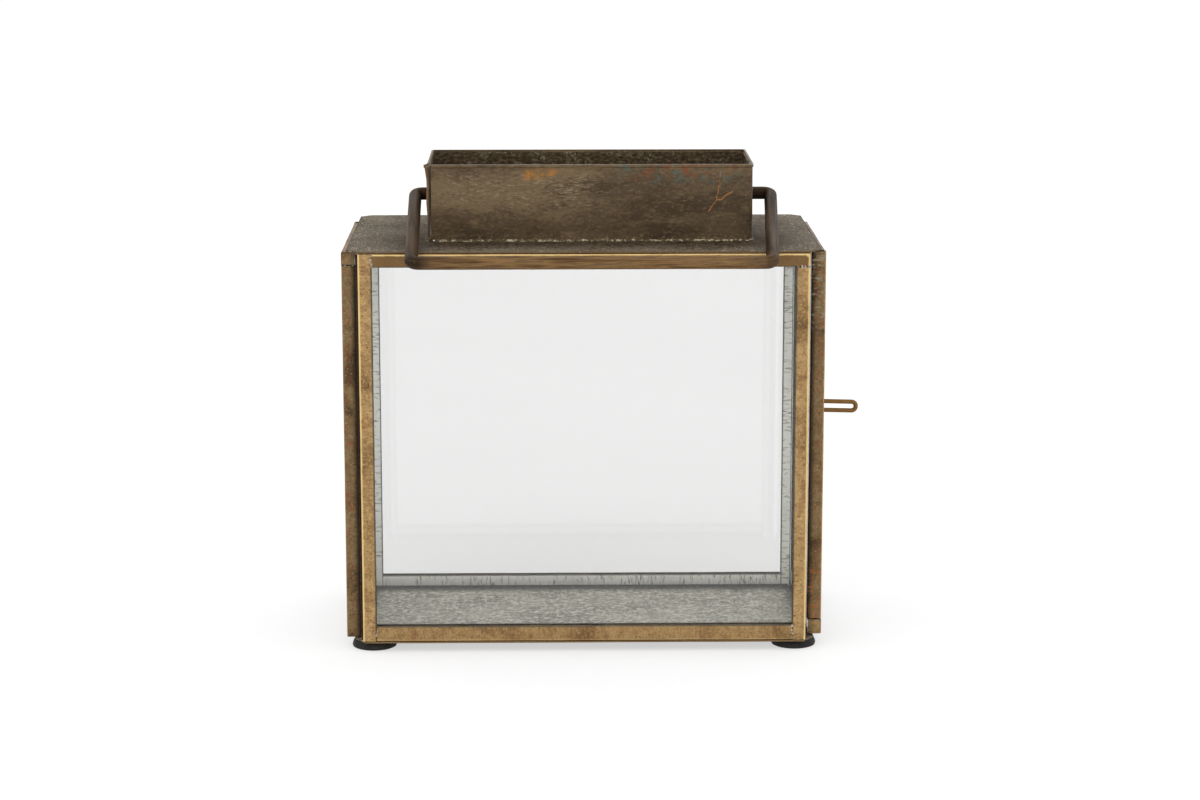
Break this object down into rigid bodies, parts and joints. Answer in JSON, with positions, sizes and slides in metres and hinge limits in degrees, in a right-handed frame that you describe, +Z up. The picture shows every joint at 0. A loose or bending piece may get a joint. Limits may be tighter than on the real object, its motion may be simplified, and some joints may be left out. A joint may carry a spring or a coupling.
{
  "type": "candle lantern",
  "caption": "Rectangular glazed candle lantern in aged brass with an open chimney collar, a folding bail handle and a hinged side door with a wire pull.",
  "frame": {"origin": "on the ground, under the middle of the lantern's bounding box", "axes": "+X across the front towards the side door and its pull, +Y from the front panel to the rear panel, +Z up"},
  "size_m": [0.2358, 0.1439, 0.2131],
  "materials": {
    "frame_brass": "aged, with bright worn edges",
    "side_brass": "mottled brown and green patina",
    "dark_patina": "dull dark brown patina",
    "chimney_patina": "dark patina with heat colours and scuffs",
    "bail_patina": "dark satin, worn along the bar",
    "copper_wire": "copper brown, worn bright",
    "galvanised_zinc": "galvanised, streaked and spangled",
    "clear_glass": "clear float glass",
    "black_rubber": "matt"
  },
  "bodies": {
    "case": {"base_plate": "frame_brass", "floor_tray": "galvanised_zinc", "roof_plate": "dark_patina", "front_stile_left": "frame_brass", "front_stile_right": "frame_brass", "front_rail_top": "frame_brass", "front_rail_bottom": "frame_brass", "front_glass": "clear_glass", "left_side_stile_front": "side_brass", "left_side_stile_rear": "side_brass", "left_side_rail_top": "side_brass", "left_side_rail_bottom": "side_brass", "left_side_glass": "clear_glass", "rear_stile_left": "side_brass", "rear_stile_right": "side_brass", "rear_rail_top": "side_brass", "rear_rail_bottom": "side_brass", "rear_glass": "clear_glass", "hinge_pin_bottom": "copper_wire", "hinge_pin_top": "copper_wire", "chimney_collar": "chimney_patina", "foot_front_left": "black_rubber", "foot_front_right": "black_rubber", "foot_rear_left": "black_rubber", "foot_rear_right": "black_rubber"},
    "door": {"door_stile_front": "side_brass", "door_stile_rear": "side_brass", "door_rail_top": "side_brass", "door_rail_bottom": "side_brass", "door_glass": "clear_glass", "door_pull": "copper_wire"},
    "bail": {"bail_handle": "bail_patina"}
  },
  "joints": [
    {"name": "door_hinge", "type": "hinge", "parent": "case", "child": "door", "pos_m": [0.08855, -0.03818, 0.092], "axis": [0, 0, -1], "range_deg": [0, 95]},
    {"name": "bail_swing", "type": "hinge", "parent": "case", "child": "bail", "pos_m": [-0.00765, 0.01362, 0.1966], "axis": [-1, 0, 0], "range_deg": [0, 206]}
  ]
}
